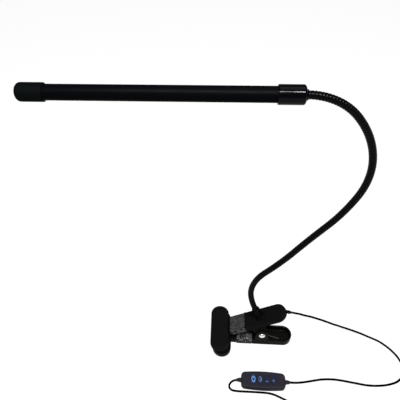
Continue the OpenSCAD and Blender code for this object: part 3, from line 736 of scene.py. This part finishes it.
def make_lower_lever():
    profile = (rim(0, 0.0022, False, 8) + rim(TRAY_H, 0.0005, True)
               + [(0.0007, TRAY_H), (WALL, TRAY_H - 0.0008), (WALL, WALL + 0.0012),
                  (WALL + 0.0004, WALL + 0.0004), (WALL + 0.0012, WALL)])
    place(solid("lower_tray", tongue(*TRAY, LEVER_R), profile), "base", "tray_black", "lower_lever")
    ear = hull([(-0.011, 0.003), (0.011, 0.003)] + arc(0, PIN_Z, 0.009, 0, 2 * math.pi, 56))
    half = 0.001
    ear_y = LEVER_R - half
    for name, y in (("lower_ear_near", ear_y), ("lower_ear_far", -ear_y)):
        place(block(name, ear, y - half, y + half, 0.0005, UPRIGHT), "base", "tray_black")
    top = ARM_LIFT + ARM_H - 0.0006
    place(arm("lower_arm", LOWER_JAW_X, TRAY[0] + 0.001, ARM_LIFT, top, None), "base", "tray_black")
    bar = solid("lower_jaw_bar", stadium(JAW_LEN, JAW_R), jaw_profile(0.001, False),
                Matrix.Translation((LOWER_JAW_X, 0, 0)))
    place(bar, "base", "tray_black")
    place(rubber_pad("lower_pad", 0, PAD_T - 0.00015, Matrix.Translation((LOWER_JAW_X, 0, JAW_T)), LEVER_R),
          "base", "pad_rubber", "lower_jaw_pad")
    # The lower wrap takes the brightened copy of the tape: painted light against the shade it lies in.
    tape = wrap("lower_wrap", *LOWER_WRAP, ARM_LIFT - WRAP_T, top + WRAP_T, None)
    place(tape, "base", "grip_grey", "lower_grip_wrap", material="grip_flecked_shade_lifted")


def make_pin():
    """A domed rivet with a slight flat and a turned ring round its head."""
    shank, head, at, tail = 0.0025, 0.0044, LEVER_R, -LEVER_R - 0.0024
    dome = [((head - 0.0002) * math.cos(t), at + 0.0008 + 0.0015 * math.sin(t)) for t in quarter(10)]
    foot = [(0.0, tail), (shank - 0.0003, tail), (shank, tail + 0.0003), (shank, at)]
    brim = [(head - 0.0002, at), (head, at + 0.0002), (head, at + 0.0005), (head - 0.0002, at + 0.0007)]
    profile = foot + brim + dome
    m = Matrix.Translation((0, 0, PIN_Z)) @ Matrix.Rotation(math.pi / 2, 4, "X")
    place(turned("pin", profile, m), "base", "pin_steel", "hinge_pin")


def make_spring():
    """A torsion spring of four turns round the hinge pin, with a leg to each lever."""
    wire, turns, steps, r = 0.0008, 4, 36, 0.0046
    y0 = -turns * (wire * 2 + 0.00015) / 2
    a0 = math.radians(250)
    a1 = a0 - math.radians(360 * turns + 73)
    coil = [Vector((r * math.cos(a), y0 * (1 - 2 * t), PIN_Z + r * math.sin(a)))
            for t in [i / (turns * steps) for i in range(turns * steps + 1)] for a in [a0 + (a1 - a0) * t]]
    low_leg = [(0.027, y0, WALL + wire + 0.0001), (0.0145, y0, 0.0086), (0.013, y0, 0.0098)]
    high_leg = [(0.012, -y0, 0.048), (0.0165, -y0, 0.0606)]
    line = [Vector(p) for p in low_leg] + coil + [Vector(p) for p in high_leg]
    spring = paint(tube("spring", line, wire, 14), "spring_steel")
    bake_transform(spring)
    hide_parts("torsion_spring")


def make_gland():
    profile = [(0.0, -0.0026), (0.0024, -0.0026), (0.0024, 0.0029), (0.0026, 0.0030), (0.0027, 0.0033),
               (0.0027, 0.0038), (0.0025, 0.0041), (0.0024, 0.0045), (0.0021, 0.0047), (0.0022, 0.0052),
               (0.0019, 0.0055), (0.0019, 0.0059), (0.0017, 0.0062), (0.0, 0.0062)]
    place(turned("gland", profile, gland_frame(), 36), "upper", "sleeve_black", "cord_gland")


# ---- Switch ----

def cut(obj, cutters):
    """Cuts solids out of obj and keeps its smooth edges."""
    for c in cutters:
        b = obj.modifiers.new("cut", "BOOLEAN")
        b.object, b.operation, b.solver = c, "DIFFERENCE", "EXACT"
    bpy.context.view_layer.update()
    shape = bpy.data.meshes.new_from_object(obj.evaluated_get(bpy.context.evaluated_depsgraph_get()))
    obj.modifiers.clear()
    obj.data = shape
    for c in cutters:
        bpy.data.objects.remove(c)
    weighted = obj.modifiers.new("weighted", "WEIGHTED_NORMAL")
    weighted.keep_sharp = True
    return obj


def button_x(i):
    return (i - 1.5) * BUTTON_PITCH


def mark_shapes(i):
    """The outlines of a button's mark, in its x and y: a ring with a bar, a half disc, a minus, a plus."""
    q, tall = math.pi / 2, 1.75
    if i == 0:
        gap = 0.6
        outer = arc(0, 0, 0.0026, q + gap, 5 * q - gap, 30)
        inner = arc(0, 0, 0.0018, 5 * q - gap, q + gap, 30)
        shapes = [outer + inner, [(-0.0004, 0.0004), (0.0004, 0.0004), (0.0004, 0.0026), (-0.0004, 0.0026)]]
    elif i == 1:
        ring = arc(0, 0, 0.0023, q, 3 * q, 20) + arc(0, 0, 0.0018, 3 * q, q, 20)
        shapes = [arc(0.0001, 0, 0.0023, -q, q, 20), ring]
    elif i == 2:
        shapes = [[(-0.0021, -0.0019), (0.0021, -0.0019), (0.0021, -0.0012), (-0.0021, -0.0012)]]
    else:
        a, b, low = 0.0020, 0.0003, -0.0008
        half_plus = [(-b, -b), (-b, -0.0013), (b, -0.0013), (b, -b), (a, -b), (a, b)]
        plus = half_plus + [(-x, -y) for x, y in half_plus]
        shapes = [[(x, low + y) for x, y in plus]]
    return [[(x, y * tall) for x, y in shape] for shape in shapes]


def switch_outline():
    """Round corners and bulging long sides."""
    half = SWITCH_SIZE[0] / 2
    x, y, r, q = half - SWITCH_R, SWITCH_SIZE[1] / 2 - SWITCH_R, SWITCH_R, math.pi / 2
    straight = [(x - x * k / 8, y + r) for k in range(1, 16)]
    side = arc(x, y, r, 0, q, 10) + straight + arc(-x, y, r, q, 2 * q, 10)
    ends = side + [(-a, -b) for a, b in side]
    return [(a, b * (1 + SWITCH_BULGE * (1 - (a / half) ** 2))) for a, b in ends]


def make_switch():
    m = switch_frame()
    height = SWITCH_SIZE[2]
    outline = switch_outline()
    low = rim(0, 0.0012, False) + [(0, SWITCH_SPLIT - 0.0003), (0.0003, SWITCH_SPLIT - 0.00005)]
    place(solid("switch_lower", outline, low, m), "base", "switch_dark", "switch_bottom")
    high = [(0.0003, SWITCH_SPLIT + 0.00005), (0, SWITCH_SPLIT + 0.0003)] + rim(height, 0.0018, True, 8)
    shell = solid("switch_upper", outline, high)
    hole = round_rect(BUTTON[0] + 0.0004, BUTTON[1] + 0.0004, 0.0016, 6)
    cutters = []
    for i in range(4):
        c = solid("cutter", hole, [(0, 0.0085), (0, 0.012)], Matrix.Translation((button_x(i), 0, 0)))
        c.modifiers.clear()
        cutters.append(c)
    cut(shell, cutters)
    shell.matrix_world = m
    place(shell, "base", "switch_dark", "switch_top")
    for i, key in enumerate(("power", "colour", "dimmer", "brighter")):
        body = "key_" + key
        at = m @ Matrix.Translation((button_x(i), 0, 0))
        dome = (rim(0.0082, 0.0003, False, 2)
                + [(0, 0.0100), (0.0003, 0.01038), (0.0009, 0.01049), (0.0016, 0.0105)])
        slot = "button_lit" if i == 0 else "button_blue"
        cap = solid("key_cap_" + key, round_rect(*BUTTON, 0.0014, 6), dome, at)
        place(cap, body, slot, "button_" + key)
        for j, shape in enumerate(mark_shapes(i)):
            mark = solid(f"mark_{key}_{j}", shape, [(0, 0.0104), (0, 0.01058)], at)
            place(mark, body, slot, material="mark_bright" if i == 0 else "mark_blue")


def make_reliefs():
    """Ribbed strain reliefs on both ends of the switch."""
    profile = [(0.0034, -0.0005), (0.0034, 0.0004)]
    for k in range(4):
        z = 0.0008 + k * 0.0014
        r = 0.0033 - k * 0.00028
        profile += [(r - 0.0004, z - 0.0002), (r - 0.0004, z + 0.0001), (r, z + 0.0003),
                    (r - 0.00005, z + 0.0009)]
    profile += [(0.0021, 0.0062), (0.0016, 0.0064)]
    for side, end in ((1, "in"), (-1, "out")):
        m = (switch_frame() @ Matrix.Translation((side * SWITCH_SIZE[0] / 2, 0, SWITCH_SPLIT))
             @ Matrix.Rotation(side * math.pi / 2, 4, "Y"))
        place(turned("relief_" + end, profile, m, 36), "base", "switch_dark", "switch_relief_" + end)


# ---- Plug ----

def make_plug():
    m = plug_frame()
    grip = solid("plug_grip", [(x - 0.011, y) for x, y in round_rect(0.022, 0.012, 0.0024, 8)],
                 rim(-0.0037, 0.0012, False) + rim(0.0037, 0.0012, True), m)
    cutters = []
    for k in range(4):
        for s in (-1, 1):
            groove = round_rect(0.0007, 0.001, 0.0002, 3)
            c = solid("cutter", [(x - 0.008 - 0.0018 * k, y + s * 0.0061) for x, y in groove],
                      [(0, -0.003), (0, 0.003)])
            c.modifiers.clear()
            c.matrix_world = m
            cutters.append(c)
    place(cut(grip, cutters), "base", "plug_black", "usb_grip")
    relief = [(0.0020, 0.0), (0.00205, 0.0008), (0.0024, 0.0010), (0.0025, 0.0018), (0.0021, 0.0020),
              (0.00215, 0.0026), (0.0028, 0.0029), (0.0029, 0.0038), (0.0025, 0.0041), (0.0026, 0.0046),
              (0.0032, 0.0049), (0.0032, 0.0062)]
    tip = m @ Matrix.Translation((0.006, 0, 0)) @ Matrix.Rotation(-math.pi / 2, 4, "Y")
    place(turned("plug_boot", relief, tip, 36), "base", "plug_black", "plug_relief")
    x0 = -0.036
    section = round_rect(0.012, 0.0045, 0.0005, 4)
    outer = [(0, 0.0003), (0, 0.0137), (0.00005, 0.014)]
    inner = [(0.00035, 0.0130), (0.00035, 0.0002)]
    along_x = Matrix(((0, 0, 1, 0), (1, 0, 0, 0), (0, 1, 0, 0), (0, 0, 0, 1)))
    mouth = m @ Matrix.Translation((x0, 0, 0)) @ along_x
    shell = solid("plug_shell", section, inner + [(0.0003, 0)] + outer, mouth)
    cutters = []
    for s in (-1, 1):
        window = round_rect(0.0025, 0.0022, 0.0002, 3)
        c = solid("cutter", [(x + x0 + 0.0075, y + s * 0.0028) for x, y in window],
                  [(0, 0.0015), (0, 0.0035)])
        c.modifiers.clear()
        c.matrix_world = m
        cutters.append(c)
    return place(cut(shell, cutters), "base", "plug_metal", "usb_shell")


def make_tie():
    """A flat band round the coil with a small buckle."""
    t, w, h = 0.0007, 0.009, 0.012
    m = (Matrix.Translation((*COIL_AT, 0)) @ Matrix.Rotation(math.radians(215), 4, "Z")
         @ Matrix.Translation((0.0165, 0, 0)))
    outer = [(x, y + h / 2) for x, y in round_rect(w + 3 * t, h + t, 0.0012, 5)]
    rings = []
    for y in (-0.0025, 0.0025):
        rings.append([(p[0], y, p[1] + t / 2) for p in outer])
    inner = offset(outer, t * 0.92)
    inside = [[(p[0], y, p[1] + t / 2) for p in inner] for y in (0.0025, -0.0025)]
    loops = [rings[0], rings[1], inside[0], inside[1]]
    n = len(outer)
    verts = [v for loop in loops for v in loop]
    faces = [(k * n + i, k * n + (i + 1) % n, ((k + 1) % 4) * n + (i + 1) % n, ((k + 1) % 4) * n + i)
             for k in range(4) for i in range(n)]
    band = mesh_object("tie_band", verts, faces, m)
    place(band, "base", "tie_black", "coil_tie")
    plate = round_rect(0.004, 0.0062, 0.0008, 4)
    buckle = block("tie_buckle", plate, h + t * 0.7, h + t + 0.0008, 0.0003, m)
    return band, place(buckle, "base", "tie_black")


# ---- Light and floor ----

def area_light(name, at, target, size, power, color=(1, 1, 1)):
    data = bpy.data.lights.new(name, "AREA")
    data.shape = "RECTANGLE"
    data.size, data.size_y = size
    data.energy = power
    data.color = color
    light = bpy.data.objects.new(name, data)
    light.location = at
    light.rotation_euler = (Vector(target) - Vector(at)).to_track_quat("-Z", "Y").to_euler()
    bpy.context.collection.objects.link(light)


def make_stage():
    m, nodes, links, bsdf = new_material("floor")
    bsdf.inputs["Base Color"].default_value = (0.06, 0.06, 0.06, 1)
    bsdf.inputs["Roughness"].default_value = 1
    bsdf.inputs["Specular IOR Level"].default_value = 0
    bsdf.inputs["Emission Color"].default_value = (1, 1, 1, 1)
    bsdf.inputs["Emission Strength"].default_value = 0.92
    half, low = 6, -0.0002
    corners = [(-half, -half, low), (half, -half, low), (half, half, low), (-half, half, low)]
    mesh = bpy.data.meshes.new("floor")
    mesh.from_pydata(corners, [], [(0, 1, 2, 3)])
    mesh.materials.append(m)
    floor = bpy.data.objects.new("floor", mesh)
    bpy.context.collection.objects.link(floor)
    world = bpy.data.worlds.new("world")
    bpy.context.scene.world = world
    world.use_nodes = True
    world.node_tree.nodes["Background"].inputs["Color"].default_value = (1, 1, 1, 1)
    world.node_tree.nodes["Background"].inputs["Strength"].default_value = 0.12
    for name, x, size, power in (("strip_left", -0.18, 0.55, 42), ("strip_right", 0.34, 0.36, 34)):
        area_light(name, (x, -0.6, 1.56), (x * 0.4, 0, 0.41), (size, 0.22), power)
    area_light("overhead", (0.1, 0.5, 2.2), (0, 0, 0.1), (1.2, 1.2), 8)
    area_light("side", (-1.6, -0.3, 1.0), (0, 0, 0.15), (0.8, 1.0), 2.5, (0.93, 0.96, 1))
    bpy.context.scene.view_settings.view_transform = "Standard"


make_camera()
MATERIALS = make_materials()
paint_cad()
make_lead()
tail, tail_line, tail_length = make_tail()
plug_shell = make_plug()
tie_band, tie_buckle = make_tie()
make_neck()
make_sleeve()
make_caps()
make_upper_lever()
make_lower_lever()
make_pin()
make_spring()
make_gland()
make_switch()
make_reliefs()
make_stage()
